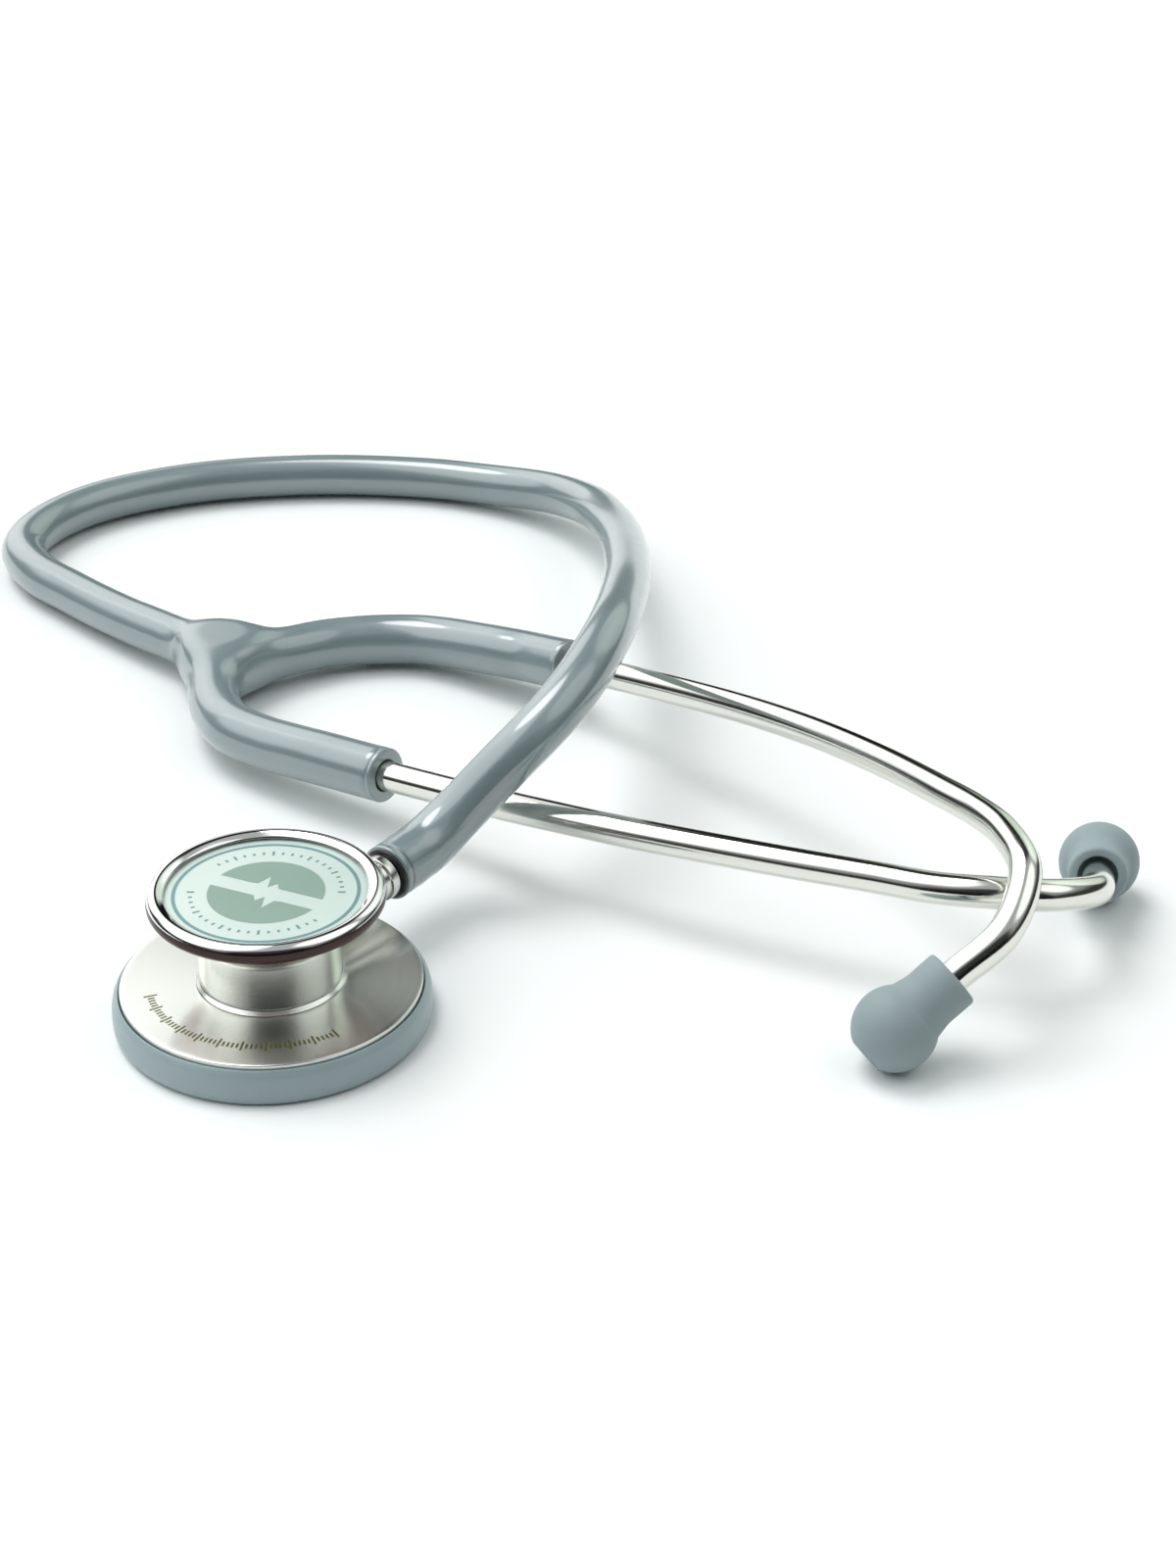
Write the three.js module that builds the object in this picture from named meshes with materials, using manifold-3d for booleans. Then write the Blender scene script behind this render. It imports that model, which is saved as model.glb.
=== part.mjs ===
// A dual-head stethoscope lying on a flat surface: chestpiece, hose, yoke and headset.
// Units are millimetres and +Z is up. Pieces are placed about the chestpiece's own axis,
// and the finished group is then moved so that the origin is under the middle of the rigid parts.
import * as THREE from 'three';
import { mergeVertices } from 'three/addons/utils/BufferGeometryUtils.js';
import Module from 'manifold-3d';

const wasm = await Module();
wasm.setup();

// Driving dimensions
const clearance = 0.3;

const plate = { radius: 22.45, bottom: 2.0, edgeTop: 6.4, hubTop: 7.0, soundHoleRadius: 1.6 };
const drum = { radius: 10.5, footTop: 7.5, top: 15.3 };
const cup = { radius: 16.6, underside: 19.5, rimTop: 20.3, floorRadius: 14.2, floorTop: 19.3 };
const rim = { radius: 23.75, top: 5.9, lipRadius: 21.2, lipTop: 0.8 };
const bezel = { radius: 17.5, bottom: 20.0, top: 22.6, windowRadius: 14.8 };
const largeDisc = { radius: 22.3, bottom: 1.1, thickness: 0.4 };
const smallDisc = { radius: 16.4, bottom: 21.1, thickness: 0.35 };
const gasket = { inner: 15.2, outer: 16.3, bottom: 20.6, top: 20.8 };

const stem = {
  heading: 54,
  height: 11.5,
  radius: 3.15,
  boreRadius: 1.5,
  innerEnd: -3.2,
  shoulderStart: 5.6,
  shoulderEnd: 7.2,
  shoulderRadius: 4.1,
  hoseStart: 26.8,
  barbEnd: 34.4,
  barbRadius: 2.45,
  rootRadius: 2.05,
  portRadius: 1.2,
  dimpleRadius: 0.9,
};
const bush = { radius: 4.9, start: 7.6, end: 11.8 };
const seal = { centreRadius: 2.75, wireRadius: 0.5, position: 3.6 };
const detent = { offset: 1.7, ballRadius: 1.1, holeRadius: 1.4, plugLength: 1.4 };

const hose = { radius: 4.2, boreRadius: 3.0, steps: 72, sides: 8 };
const hub = { radius: 6.1, centre: [-19.4, 106.6, 6.2] };
const arm = {
  radius: 4.6,
  boreRadius: 2.8,
  mouthBoreRadius: 2.4,
  flexBallRadius: 4.2,
  flexGap: 0.4,
  flexNeck: 2.2,
  sleeveSetback: 1.3,
  soundHoleRadius: 1.8,
};
const spring = { height: 4.2, thickness: 0.5, endGap: 7 };
const tube = { radius: 2.5, boreRadius: 1.8, insertDepth: 12 };
const nipple = {
  plugRadius: 1.35,
  plugLength: 2.6,
  flange: 0.9,
  threadRadius: 2.1,
  threadLength: 3.6,
  boreRadius: 0.9,
};
const eartip = { bulbRadius: 6.35, bulbCentre: 5.8, collarStart: -5.5, collarRadius: 4.55, holeRadius: 1.3 };
const insertRadius = 3.3;

// Centre lines, as points about the chestpiece's axis
const hoseRoute = [
  [18.4, 25.6, 11.5], [21.4, 29.4, 12.0], [24.9, 32.6, 14.3], [28.5, 34.8, 17.3], [31.7, 36.5, 20.2],
  [34.8, 38.2, 22.9], [37.9, 40.4, 25.3], [40.9, 43.4, 27.3], [43.3, 46.8, 28.8], [45.6, 50.9, 30.1],
  [47.6, 56.0, 31.0], [49.3, 62.2, 31.2], [50.8, 70.0, 30.5], [52.1, 80.6, 28.6], [53.2, 92.7, 26.2],
  [53.9, 106.2, 23.2], [53.9, 121.6, 19.7], [53.2, 136.6, 16.2], [51.4, 151.4, 12.9], [47.6, 166.6, 9.8],
  [39.6, 179.8, 7.0], [27.6, 188.4, 5.1], [12.0, 194.0, 4.4], [-10.8, 195.5, 4.4], [-34.9, 191.3, 4.4],
  [-53.6, 181.2, 4.4], [-62.6, 169.4, 4.4], [-65.0, 158.0, 4.4], [-60.4, 146.9, 4.5], [-51.7, 137.0, 4.7],
  [-40.6, 125.4, 5.2], [-29.0, 114.6, 5.9],
];
const leftArmRoute = [
  hub.centre, [-19.9, 99.2, 6.2], [-19.5, 92.1, 6.2], [-17.9, 85.0, 6.4], [-14.3, 77.7, 6.8],
  [-8.7, 72.3, 7.2], [-2.9, 67.8, 7.9],
];
const rightArmRoute = [
  hub.centre, [-14.2, 107.0, 5.9], [-8.7, 110.0, 5.5], [-1.9, 114.0, 5.1], [5.2, 115.9, 5.0],
  [10.6, 116.4, 5.0], [16.0, 115.8, 5.2], [20.9, 113.7, 5.7], [26.2, 110.4, 6.4], [31.6, 106.5, 7.3],
];
// The steel tube in its own frame: x leaves the rubber, +y is towards the other tube
const tubeRoute = [
  [-tube.insertDepth, 0, 0], [0, 0, 0], [17.6, -0.3, 0], [32.6, -0.9, 0], [47.5, -2.0, -0.1], [62.4, -3.8, -0.4],
  [77.2, -6.3, -1.1], [89.9, -9.0, -2.0], [98.7, -11.0, -2.8], [106.7, -14.2, -3.6], [113.6, -19.3, -5.7],
  [116.0, -28.2, -10.4], [112.2, -36.4, -14.6],
];
const tubeEnd = new THREE.Vector3(110.0, -40.9, -17.0);
const eartipDirection = new THREE.Vector3(-0.4, -0.81, -0.43).normalize();

// Where each steel tube leaves the rubber, and how it is turned: yaw, then pitch, then twist
const leftTube = { position: [11.7, 57.1, 9.6], yaw: -35.3, pitch: 4.5, twist: 9.5, side: -1, sleeveEnd: 2.2 };
const rightTube = { position: [44.0, 95.7, 9.9], yaw: -45.1, pitch: 10.6, twist: 5.4, side: 1, sleeveEnd: -0.6 };

const finishes = {
  steel: new THREE.MeshStandardMaterial({ color: 0xb9bcb8, roughness: 0.28, metalness: 1 }),
  polished: new THREE.MeshStandardMaterial({ color: 0xd8d8d6, roughness: 0.1, metalness: 1 }),
  rubber: new THREE.MeshStandardMaterial({ color: 0x8fa3a9, roughness: 0.35, metalness: 0 }),
  softGrey: new THREE.MeshStandardMaterial({ color: 0x8d9ba1, roughness: 0.6, metalness: 0 }),
  disc: new THREE.MeshStandardMaterial({ color: 0xdfeae4, roughness: 0.4, metalness: 0 }),
  black: new THREE.MeshStandardMaterial({ color: 0x1c1d1f, roughness: 0.6, metalness: 0 }),
  brass: new THREE.MeshStandardMaterial({ color: 0xb08d4a, roughness: 0.35, metalness: 1 }),
};

// Geometry helpers

const radians = THREE.MathUtils.degToRad;
const point = (xyz) => new THREE.Vector3(...xyz);

// A closed manifold solid from a three.js geometry, whichever way its faces were wound
function solidOf(geometry) {
  const bare = geometry.clone();
  bare.deleteAttribute('normal');
  bare.deleteAttribute('uv');
  const merged = mergeVertices(bare, 1e-4);
  const place = merged.attributes.position;
  const corner = [new THREE.Vector3(), new THREE.Vector3(), new THREE.Vector3()];
  const triangles = [];
  let volume = 0;
  for (let i = 0; i < merged.index.count; i += 3) {
    const ids = [0, 1, 2].map((n) => merged.index.getX(i + n));
    if (new Set(ids).size < 3) continue;
    ids.forEach((id, n) => corner[n].fromBufferAttribute(place, id));
    volume += corner[0].dot(corner[1].clone().cross(corner[2]));
    triangles.push(ids);
  }
  if (volume < 0) triangles.forEach((ids) => ids.reverse());
  const triVerts = new Uint32Array(triangles.flat());
  const vertProperties = new Float32Array(place.array);
  return new wasm.Manifold(new wasm.Mesh({ numProp: 3, vertProperties, triVerts }));
}

// A three.js geometry from a manifold solid
function geometryOf(solid) {
  const mesh = solid.getMesh();
  const geometry = new THREE.BufferGeometry();
  geometry.setAttribute('position', new THREE.BufferAttribute(new Float32Array(mesh.vertProperties), 3));
  geometry.setIndex(new THREE.BufferAttribute(new Uint32Array(mesh.triVerts), 1));
  return geometry;
}

// A solid turned about Z from a closed outline of [radius, height] points
function turned(outline, sides = 40) {
  const points = outline.map(([radius, height]) => new THREE.Vector2(radius, height));
  points.push(points[0].clone());
  const geometry = new THREE.LatheGeometry(points, sides);
  geometry.rotateX(Math.PI / 2);
  return solidOf(geometry);
}

// The same about X: outline points are [position along X, radius]
function turnedAlongX(outline, sides = 20) {
  const solid = turned(outline.map(([along, radius]) => [radius, along]), sides);
  return solid.transform(new THREE.Matrix4().makeRotationY(Math.PI / 2).elements.slice());
}

// A round bar or pipe along a curve
function pipe(curve, radius, boreRadius, steps, sides) {
  const section = new THREE.Shape();
  section.absarc(0, 0, radius, 0, 2 * Math.PI);
  if (boreRadius > 0) {
    const bore = new THREE.Path();
    bore.absarc(0, 0, boreRadius, 0, 2 * Math.PI, true);
    section.holes.push(bore);
  }
  const settings = { steps, bevelEnabled: false, extrudePath: curve, curveSegments: sides / 2 };
  return solidOf(new THREE.ExtrudeGeometry(section, settings));
}

function ball(radius, centre, stretch = [1, 1, 1], sides = 24) {
  const geometry = new THREE.SphereGeometry(radius, sides, sides / 2);
  geometry.scale(...stretch);
  geometry.translate(centre.x, centre.y, centre.z);
  return solidOf(geometry);
}

function piece(name, solid, finish) {
  const mesh = new THREE.Mesh(geometryOf(solid), finishes[finish]);
  mesh.name = name;
  return mesh;
}

// Chestpiece: everything here turns together about the stem

const stemAxis = new THREE.Matrix4()
  .makeTranslation(0, 0, stem.height)
  .multiply(new THREE.Matrix4().makeRotationZ(radians(stem.heading)));
const alongStem = (solid) => solid.transform(stemAxis.elements.slice());

function chestBody() {
  const turnedBlank = turned([
    [plate.soundHoleRadius, 3.4], [19.6, plate.bottom + 0.5], [20.6, plate.bottom],
    [plate.radius, plate.bottom], [plate.radius, plate.edgeTop - 0.3],
    [plate.radius - 0.3, plate.edgeTop], [drum.radius + 0.7, plate.hubTop],
    [drum.radius, drum.footTop], [drum.radius, drum.top], [drum.radius + 0.6, drum.top + 0.5],
    [cup.radius - 1.2, cup.underside - 0.6], [cup.radius - 0.2, cup.underside],
    [cup.radius, cup.underside + 0.3], [cup.radius, cup.rimTop], [cup.floorRadius, cup.rimTop],
    [cup.floorRadius, cup.floorTop], [plate.soundHoleRadius, cup.floorTop - 0.8],
  ]);
  const stemBore = turnedAlongX([
    [stem.innerEnd - clearance, 0], [stem.innerEnd - clearance, stem.radius + clearance],
    [5.3, stem.radius + clearance], [5.3, bush.radius + clearance],
    [drum.radius + 2, bush.radius + clearance], [drum.radius + 2, 0],
  ]);
  const detentHole = turnedAlongX([
    [-drum.radius - 1, 0], [-drum.radius - 1, detent.holeRadius],
    [stem.innerEnd, detent.holeRadius], [stem.innerEnd, 0],
  ], 16).translate([0, 0, detent.offset]);
  return turnedBlank.subtract(alongStem(stemBore)).subtract(alongStem(detentHole));
}

function largeRim() {
  return turned([
    [rim.lipRadius, 0.3], [rim.lipRadius + 0.3, 0], [rim.radius - 1.1, 0], [rim.radius - 0.4, 0.4],
    [rim.radius, 1.5], [rim.radius, 3.6], [rim.radius - 0.2, 4.7], [rim.radius - 0.55, 5.5],
    [rim.radius - 0.9, rim.top], [plate.radius + clearance, rim.top - 0.1],
    [plate.radius + clearance, rim.lipTop], [rim.lipRadius, rim.lipTop],
  ]);
}

function bezelRing() {
  const innerWall = cup.radius + clearance;
  return turned([
    [innerWall, bezel.bottom], [bezel.radius - 0.3, bezel.bottom], [bezel.radius, bezel.bottom + 0.5],
    [bezel.radius, bezel.bottom + 1.4], [bezel.radius - 0.3, bezel.top - 0.5],
    [bezel.radius - 1.0, bezel.top], [bezel.radius - 2.0, bezel.top],
    [bezel.windowRadius, bezel.top - 0.55], [bezel.windowRadius, bezel.top - 0.8],
    [innerWall, bezel.top - 0.8],
  ]);
}

function roundDisc({ radius, bottom, thickness }) {
  const crown = thickness / 3;
  return turned([
    [0, bottom], [radius, bottom], [radius, bottom + thickness - crown],
    [radius - crown, bottom + thickness], [0, bottom + thickness],
  ]);
}

function detentSpring() {
  const coils = 4;
  const start = -drum.radius + detent.plugLength + 0.6;
  const length = 2.2;
  const points = [];
  for (let i = 0; i <= coils * 8; i += 1) {
    const turn = (i / 8) * 2 * Math.PI;
    const along = start + (length * i) / (coils * 8);
    points.push(new THREE.Vector3(along, 0.8 * Math.cos(turn), detent.offset + 0.8 * Math.sin(turn)));
  }
  return pipe(new THREE.CatmullRomCurve3(points), 0.2, 0, coils * 9, 4);
}

function detentPlug() {
  const end = -drum.radius + 0.2;
  return turnedAlongX([
    [end, 0.5], [end, detent.holeRadius - clearance],
    [end + detent.plugLength, detent.holeRadius - clearance], [end + detent.plugLength, 0], [end + 0.7, 0],
    [end + 0.7, 0.5],
  ], 12).translate([0, 0, detent.offset]);
}

function stemBush() {
  const outer = bush.radius;
  return turnedAlongX([
    [bush.start, stem.radius + clearance], [bush.start, outer], [bush.end - 0.4, outer],
    [bush.end, outer - 0.4], [bush.end, stem.radius + clearance],
  ]);
}

const ballPlace = new THREE.Vector3(stem.innerEnd - 0.4 - detent.ballRadius, 0, detent.offset);

const chestpiece = new THREE.Group();
chestpiece.add(
  piece('chest_body', chestBody(), 'steel'),
  piece('large_rim', largeRim(), 'rubber'),
  piece('large_diaphragm', roundDisc(largeDisc), 'disc'),
  piece('small_rim', bezelRing(), 'polished'),
  piece('small_diaphragm', roundDisc(smallDisc), 'disc'),
  piece('small_gasket', turned([
    [gasket.inner, gasket.bottom], [gasket.outer, gasket.bottom],
    [gasket.outer, gasket.top], [gasket.inner, gasket.top],
  ]), 'black'),
  piece('stem_bush', alongStem(stemBush()), 'steel'),
  piece('detent_ball', alongStem(ball(detent.ballRadius, ballPlace, [1, 1, 1], 12)), 'steel'),
  piece('detent_spring', alongStem(detentSpring()), 'steel'),
  piece('detent_plug', alongStem(detentPlug()), 'steel'),
);

// Stem, its seal and the hose

function stemTube() {
  const grooveBottom = seal.centreRadius - seal.wireRadius - clearance;
  const grooveHalf = seal.wireRadius + clearance;
  const outline = [
    [stem.innerEnd, 0], [stem.innerEnd, stem.radius - 0.3], [stem.innerEnd + 0.3, stem.radius],
    [seal.position - grooveHalf, stem.radius], [seal.position - grooveHalf, grooveBottom],
    [seal.position + grooveHalf, grooveBottom], [seal.position + grooveHalf, stem.radius],
    [stem.shoulderStart, stem.radius], [stem.shoulderStart, stem.shoulderRadius],
    [stem.shoulderEnd, stem.shoulderRadius], [stem.shoulderEnd, stem.radius],
    [stem.hoseStart - clearance, stem.radius], [stem.hoseStart - clearance, stem.rootRadius],
  ];
  const barbs = 3;
  const pitch = (stem.barbEnd - stem.hoseStart) / barbs;
  for (let i = 0; i < barbs; i += 1) {
    const start = stem.hoseStart + i * pitch;
    outline.push([start + 0.4, stem.rootRadius], [start + 0.6, stem.barbRadius], [start + pitch, stem.rootRadius]);
  }
  outline.push([stem.barbEnd, 0]);
  const bore = turnedAlongX([[-stem.boreRadius, 0], [-stem.boreRadius, stem.boreRadius],
    [stem.barbEnd + 1, stem.boreRadius], [stem.barbEnd + 1, 0]], 16);
  const port = turned([
    [0, -stem.radius - 1], [stem.portRadius, -stem.radius - 1], [stem.portRadius, 0], [0, 0],
  ], 16);
  const dimple = ball(stem.dimpleRadius, new THREE.Vector3(stem.innerEnd - 0.4, 0, detent.offset), [1, 1, 1], 12);
  return turnedAlongX(outline).subtract(bore).subtract(port).subtract(dimple);
}

function sealRing() {
  const outline = [];
  for (let i = 0; i < 6; i += 1) {
    const angle = (i / 6) * 2 * Math.PI;
    outline.push([
      seal.position + seal.wireRadius * Math.cos(angle),
      seal.centreRadius + seal.wireRadius * Math.sin(angle),
    ]);
  }
  return turnedAlongX(outline);
}

const hoseStart = new THREE.Vector3(stem.hoseStart, 0, 0).applyMatrix4(stemAxis);
const hoseCurve = new THREE.CatmullRomCurve3([hoseStart, ...hoseRoute.map(point)], false, 'centripetal');
const hoseEnd = point(hoseRoute.at(-1));

const soundLine = new THREE.Group();
soundLine.add(
  piece('stem', alongStem(stemTube()), 'steel'),
  piece('stem_seal', alongStem(sealRing()), 'black'),
  piece('hose', pipe(hoseCurve, hose.radius, hose.boreRadius, hose.steps, hose.sides), 'rubber'),
);

// Yoke: a hollow Y moulding with a flat leaf spring inside its two arms

function curveThrough(route) {
  return new THREE.CatmullRomCurve3(route.map(point), false, 'centripetal');
}

const yokeHub = point(hub.centre);
const leftArm = curveThrough(leftArmRoute);
const rightArm = curveThrough(rightArmRoute);
const inlet = new THREE.LineCurve3(
  hoseEnd.clone().addScaledVector(hoseCurve.getTangent(1), clearance),
  yokeHub,
);
const leftFlex = point(leftArmRoute.at(-1));
const rightFlex = point(rightArmRoute.at(-1));

function shortened(curve, cut) {
  const length = curve.getLength();
  const points = curve.getSpacedPoints(20).filter((_, i) => (i / 20) * length <= length - cut);
  points.push(curve.getPointAt(1 - cut / length));
  return new THREE.CatmullRomCurve3(points);
}

// A straight line of the given length along the curve's heading at its end
function runOut(curve, length) {
  const end = curve.getPointAt(1);
  return new THREE.LineCurve3(end, end.clone().addScaledVector(curve.getTangentAt(1), length));
}

function yoke() {
  const shell = pipe(inlet, hose.radius, 0, 2, 12)
    .add(pipe(shortened(leftArm, arm.flexNeck), arm.radius, 0, 12, 12))
    .add(pipe(shortened(rightArm, arm.flexNeck), arm.radius, 0, 15, 12))
    .add(ball(hub.radius, yokeHub, [1, 1, 1], 16))
    .add(ball(arm.flexBallRadius, leftFlex, [1, 1, 1], 12))
    .add(ball(arm.flexBallRadius, rightFlex, [1, 1, 1], 12));
  const armMouth = arm.flexBallRadius + arm.flexNeck;
  const inletMouth = -inlet.getLength() - clearance;
  const channels = pipe(leftArm, arm.boreRadius, 0, 12, 8)
    .add(pipe(rightArm, arm.boreRadius, 0, 15, 8))
    .add(pipe(runOut(leftArm, armMouth), arm.mouthBoreRadius, 0, 1, 8))
    .add(pipe(runOut(rightArm, armMouth), arm.mouthBoreRadius, 0, 1, 8))
    .add(pipe(runOut(inlet, inletMouth), arm.boreRadius, 0, 1, 8))
    .add(ball(arm.boreRadius + 0.1, yokeHub, [1, 1, 1], 10));
  return shell.subtract(channels);
}

function leafSpring() {
  const high = spring.height / 2;
  const half = spring.thickness / 2;
  const section = new THREE.Shape();
  section.moveTo(-high, -half);
  section.lineTo(high, -half);
  section.lineTo(high, half);
  section.lineTo(-high, half);
  const back = shortened(leftArm, spring.endGap).getSpacedPoints(8).slice(1).reverse();
  const front = shortened(rightArm, spring.endGap).getSpacedPoints(10).slice(1);
  const middleLine = new THREE.CatmullRomCurve3([...back, yokeHub, ...front], false, 'centripetal');
  const settings = { steps: 40, bevelEnabled: false, extrudePath: middleLine };
  return solidOf(new THREE.ExtrudeGeometry(section, settings));
}

// Headset side: the rubber socket, steel tube, threaded nipple, hard ring and soft eartip

function placementOf({ position, yaw, pitch, twist, side }) {
  const turn = new THREE.Matrix4()
    .makeRotationZ(radians(yaw))
    .multiply(new THREE.Matrix4().makeRotationY(radians(-pitch)))
    .multiply(new THREE.Matrix4().makeRotationX(radians(twist)));
  return { matrix: new THREE.Matrix4().setPosition(...position).multiply(turn), side };
}

function headsetSide(name, settings, flexPoint) {
  const { matrix, side } = placementOf(settings);
  const mirrored = (vector) => vector.clone().multiply(new THREE.Vector3(1, side, 1));
  const place = (solid) => solid.transform(matrix.elements.slice());
  const flex = flexPoint.clone().applyMatrix4(matrix.clone().invert());
  const end = mirrored(tubeEnd);
  const direction = mirrored(eartipDirection);
  const route = new THREE.CatmullRomCurve3([...tubeRoute.map(point).map(mirrored), end], false, 'centripetal');
  const turnToEnd = new THREE.Quaternion().setFromUnitVectors(new THREE.Vector3(1, 0, 0), direction);
  const atEnd = new THREE.Matrix4().compose(end, turnToEnd, new THREE.Vector3(1, 1, 1));
  const endPlace = (solid) => place(solid.transform(atEnd.elements.slice()));

  const onAxis = (x) => new THREE.Vector3(x, 0, 0);
  const sleeveStart = flex.clone().setLength(flex.length() - arm.sleeveSetback);
  const sleeveLine = new THREE.LineCurve3(sleeveStart, onAxis(settings.sleeveEnd));
  const insertLine = new THREE.LineCurve3(onAxis(-tube.insertDepth - clearance), onAxis(settings.sleeveEnd + 1));
  const soundLine = new THREE.LineCurve3(flex, onAxis(1 - tube.insertDepth));
  const sleeve = pipe(sleeveLine, arm.radius, 0, 1, 16)
    .subtract(pipe(insertLine, arm.boreRadius, 0, 1, 12))
    .subtract(pipe(soundLine, arm.soundHoleRadius, 0, 1, 12))
    .subtract(ball(arm.flexBallRadius + arm.flexGap, flex, [1, 1, 1], 12));
  const steel = pipe(route, tube.radius, tube.boreRadius, 38, 10);
  const thread = turnedAlongX([
    [-nipple.plugLength, nipple.boreRadius], [-nipple.plugLength, nipple.plugRadius],
    [clearance, nipple.plugRadius], [clearance, tube.radius],
    [clearance + nipple.flange, tube.radius], [clearance + nipple.flange, nipple.threadRadius],
    [clearance + nipple.flange + nipple.threadLength, nipple.threadRadius],
    [clearance + nipple.flange + nipple.threadLength, nipple.boreRadius],
  ], 16);
  return [
    piece(`tube_socket_${name}`, place(sleeve), 'rubber'),
    piece(`binaural_tube_${name}`, place(steel), 'polished'),
    piece(`ear_nipple_${name}`, endPlace(thread), 'brass'),
    piece(`eartip_insert_${name}`, endPlace(insertRing()), 'black'),
    piece(`eartip_${name}`, endPlace(softTip()), 'softGrey'),
  ];
}

// The hard threaded ring bonded inside the soft tip, along the tube's end axis
function insertRing() {
  const bore = nipple.threadRadius + clearance;
  const start = clearance + nipple.flange + clearance;
  return turnedAlongX([
    [start, bore], [start, insertRadius], [start + nipple.threadLength, insertRadius],
    [start + nipple.threadLength, bore],
  ], 20);
}

// The mushroom-shaped tip: a collar round the tube, a waist, the bulb and its sound hole
function softTip() {
  const { bulbCentre, collarStart } = eartip;
  const outline = [
    [collarStart, tube.radius + clearance], [collarStart, eartip.collarRadius - 0.4],
    [collarStart + 0.5, eartip.collarRadius], [collarStart + 3.4, eartip.collarRadius],
    [collarStart + 4.6, eartip.collarRadius + 0.1],
  ];
  for (let i = 0; i <= 8; i += 1) {
    const angle = radians(128 - i * 14);
    outline.push([bulbCentre + eartip.bulbRadius * Math.cos(angle), eartip.bulbRadius * Math.sin(angle)]);
  }
  const face = bulbCentre + eartip.bulbRadius * Math.cos(radians(16));
  const ringStart = nipple.flange;
  const ringEnd = ringStart + nipple.threadLength + 4 * clearance;
  outline.push(
    [face, eartip.holeRadius], [ringEnd, eartip.holeRadius], [ringEnd, insertRadius + clearance],
    [ringStart, insertRadius + clearance], [ringStart - 0.6, tube.radius + clearance],
  );
  return turnedAlongX(outline);
}

const headset = new THREE.Group();
headset.add(
  piece('yoke', yoke(), 'rubber'),
  piece('leaf_spring', leafSpring(), 'steel'),
  ...headsetSide('left', leftTube, leftFlex),
  ...headsetSide('right', rightTube, rightFlex),
);

// The origin goes under the middle of everything but the free hose
const stethoscope = new THREE.Group();
stethoscope.add(chestpiece, soundLine, headset);
const extent = new THREE.Box3();
stethoscope.traverse((object) => {
  if (object.isMesh && object.name !== 'hose') extent.expandByObject(object);
});
const middle = extent.getCenter(new THREE.Vector3());
stethoscope.position.set(-middle.x, -middle.y, -extent.min.z);

export default stethoscope;
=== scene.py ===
# A dual-head stethoscope lying on a pale floor: chestpiece, hose, yoke, ear tubes and eartips
import math

import bmesh
import bpy
import numpy as np
from mathutils import Matrix, Vector


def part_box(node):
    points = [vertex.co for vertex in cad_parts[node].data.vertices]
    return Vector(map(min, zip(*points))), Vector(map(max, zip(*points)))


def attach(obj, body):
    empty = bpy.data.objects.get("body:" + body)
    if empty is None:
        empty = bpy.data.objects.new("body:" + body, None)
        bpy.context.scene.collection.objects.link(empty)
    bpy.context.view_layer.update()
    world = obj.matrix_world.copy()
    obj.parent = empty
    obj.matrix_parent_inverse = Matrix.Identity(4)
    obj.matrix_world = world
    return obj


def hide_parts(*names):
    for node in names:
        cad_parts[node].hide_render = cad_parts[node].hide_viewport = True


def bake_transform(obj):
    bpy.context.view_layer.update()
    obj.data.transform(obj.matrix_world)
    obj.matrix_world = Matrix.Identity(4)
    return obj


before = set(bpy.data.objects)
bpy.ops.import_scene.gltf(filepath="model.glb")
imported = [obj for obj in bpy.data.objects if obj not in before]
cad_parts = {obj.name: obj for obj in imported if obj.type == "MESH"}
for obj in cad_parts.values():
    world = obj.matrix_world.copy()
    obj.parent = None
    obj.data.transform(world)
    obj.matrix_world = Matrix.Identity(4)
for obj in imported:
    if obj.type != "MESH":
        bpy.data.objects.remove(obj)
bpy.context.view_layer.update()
mm = 0.001

# Everything is measured in millimetres from the foot of the chestpiece's own axis
rimLow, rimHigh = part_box("large_rim")
chestFoot = Vector(((rimLow.x + rimHigh.x) / 2, (rimLow.y + rimHigh.y) / 2, rimLow.z))


def fromChest(point):
    return chestFoot + Vector(point) * mm


# The camera looks down from the front, a little to the right of the chestpiece
cameraSettings = {
    "place": (46.8, -345.0, 232.4),
    "tilt": 60.78,  # degrees up from straight down
    "lens": 63.8,
}


def makeCamera():
    data = bpy.data.cameras.new("camera")
    data.sensor_width = 36
    data.lens = cameraSettings["lens"]
    data.clip_start, data.clip_end = 0.01, 20
    camera = bpy.data.objects.new("camera", data)
    camera.location = fromChest(cameraSettings["place"])
    camera.rotation_euler = (math.radians(cameraSettings["tilt"]), 0, 0)
    bpy.context.scene.collection.objects.link(camera)
    bpy.context.scene.camera = camera


makeCamera()
print("camera set")


# Curves: a smooth line through given points, and frames carried along it
def smoothLine(points, spacing=0.5):
    points = [Vector(p) for p in points]
    points = [points[0] * 2 - points[1]] + points + [points[-1] * 2 - points[-2]]
    line = []
    for a, b, c, d in zip(points, points[1:], points[2:], points[3:]):
        ta = (b - a).length ** 0.5
        tb = ta + (c - b).length ** 0.5
        tc = tb + (d - c).length ** 0.5
        steps = max(2, round((c - b).length / spacing))
        for i in range(steps):
            t = ta + (tb - ta) * i / steps
            ab = a.lerp(b, t / ta)
            bc = b.lerp(c, (t - ta) / (tb - ta))
            cd = c.lerp(d, (t - tb) / (tc - tb))
            abc = ab.lerp(bc, t / tb)
            bcd = bc.lerp(cd, (t - ta) / (tc - ta))
            line.append(abc.lerp(bcd, (t - ta) / (tb - ta)))
    line.append(points[-2])
    return line


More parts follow.
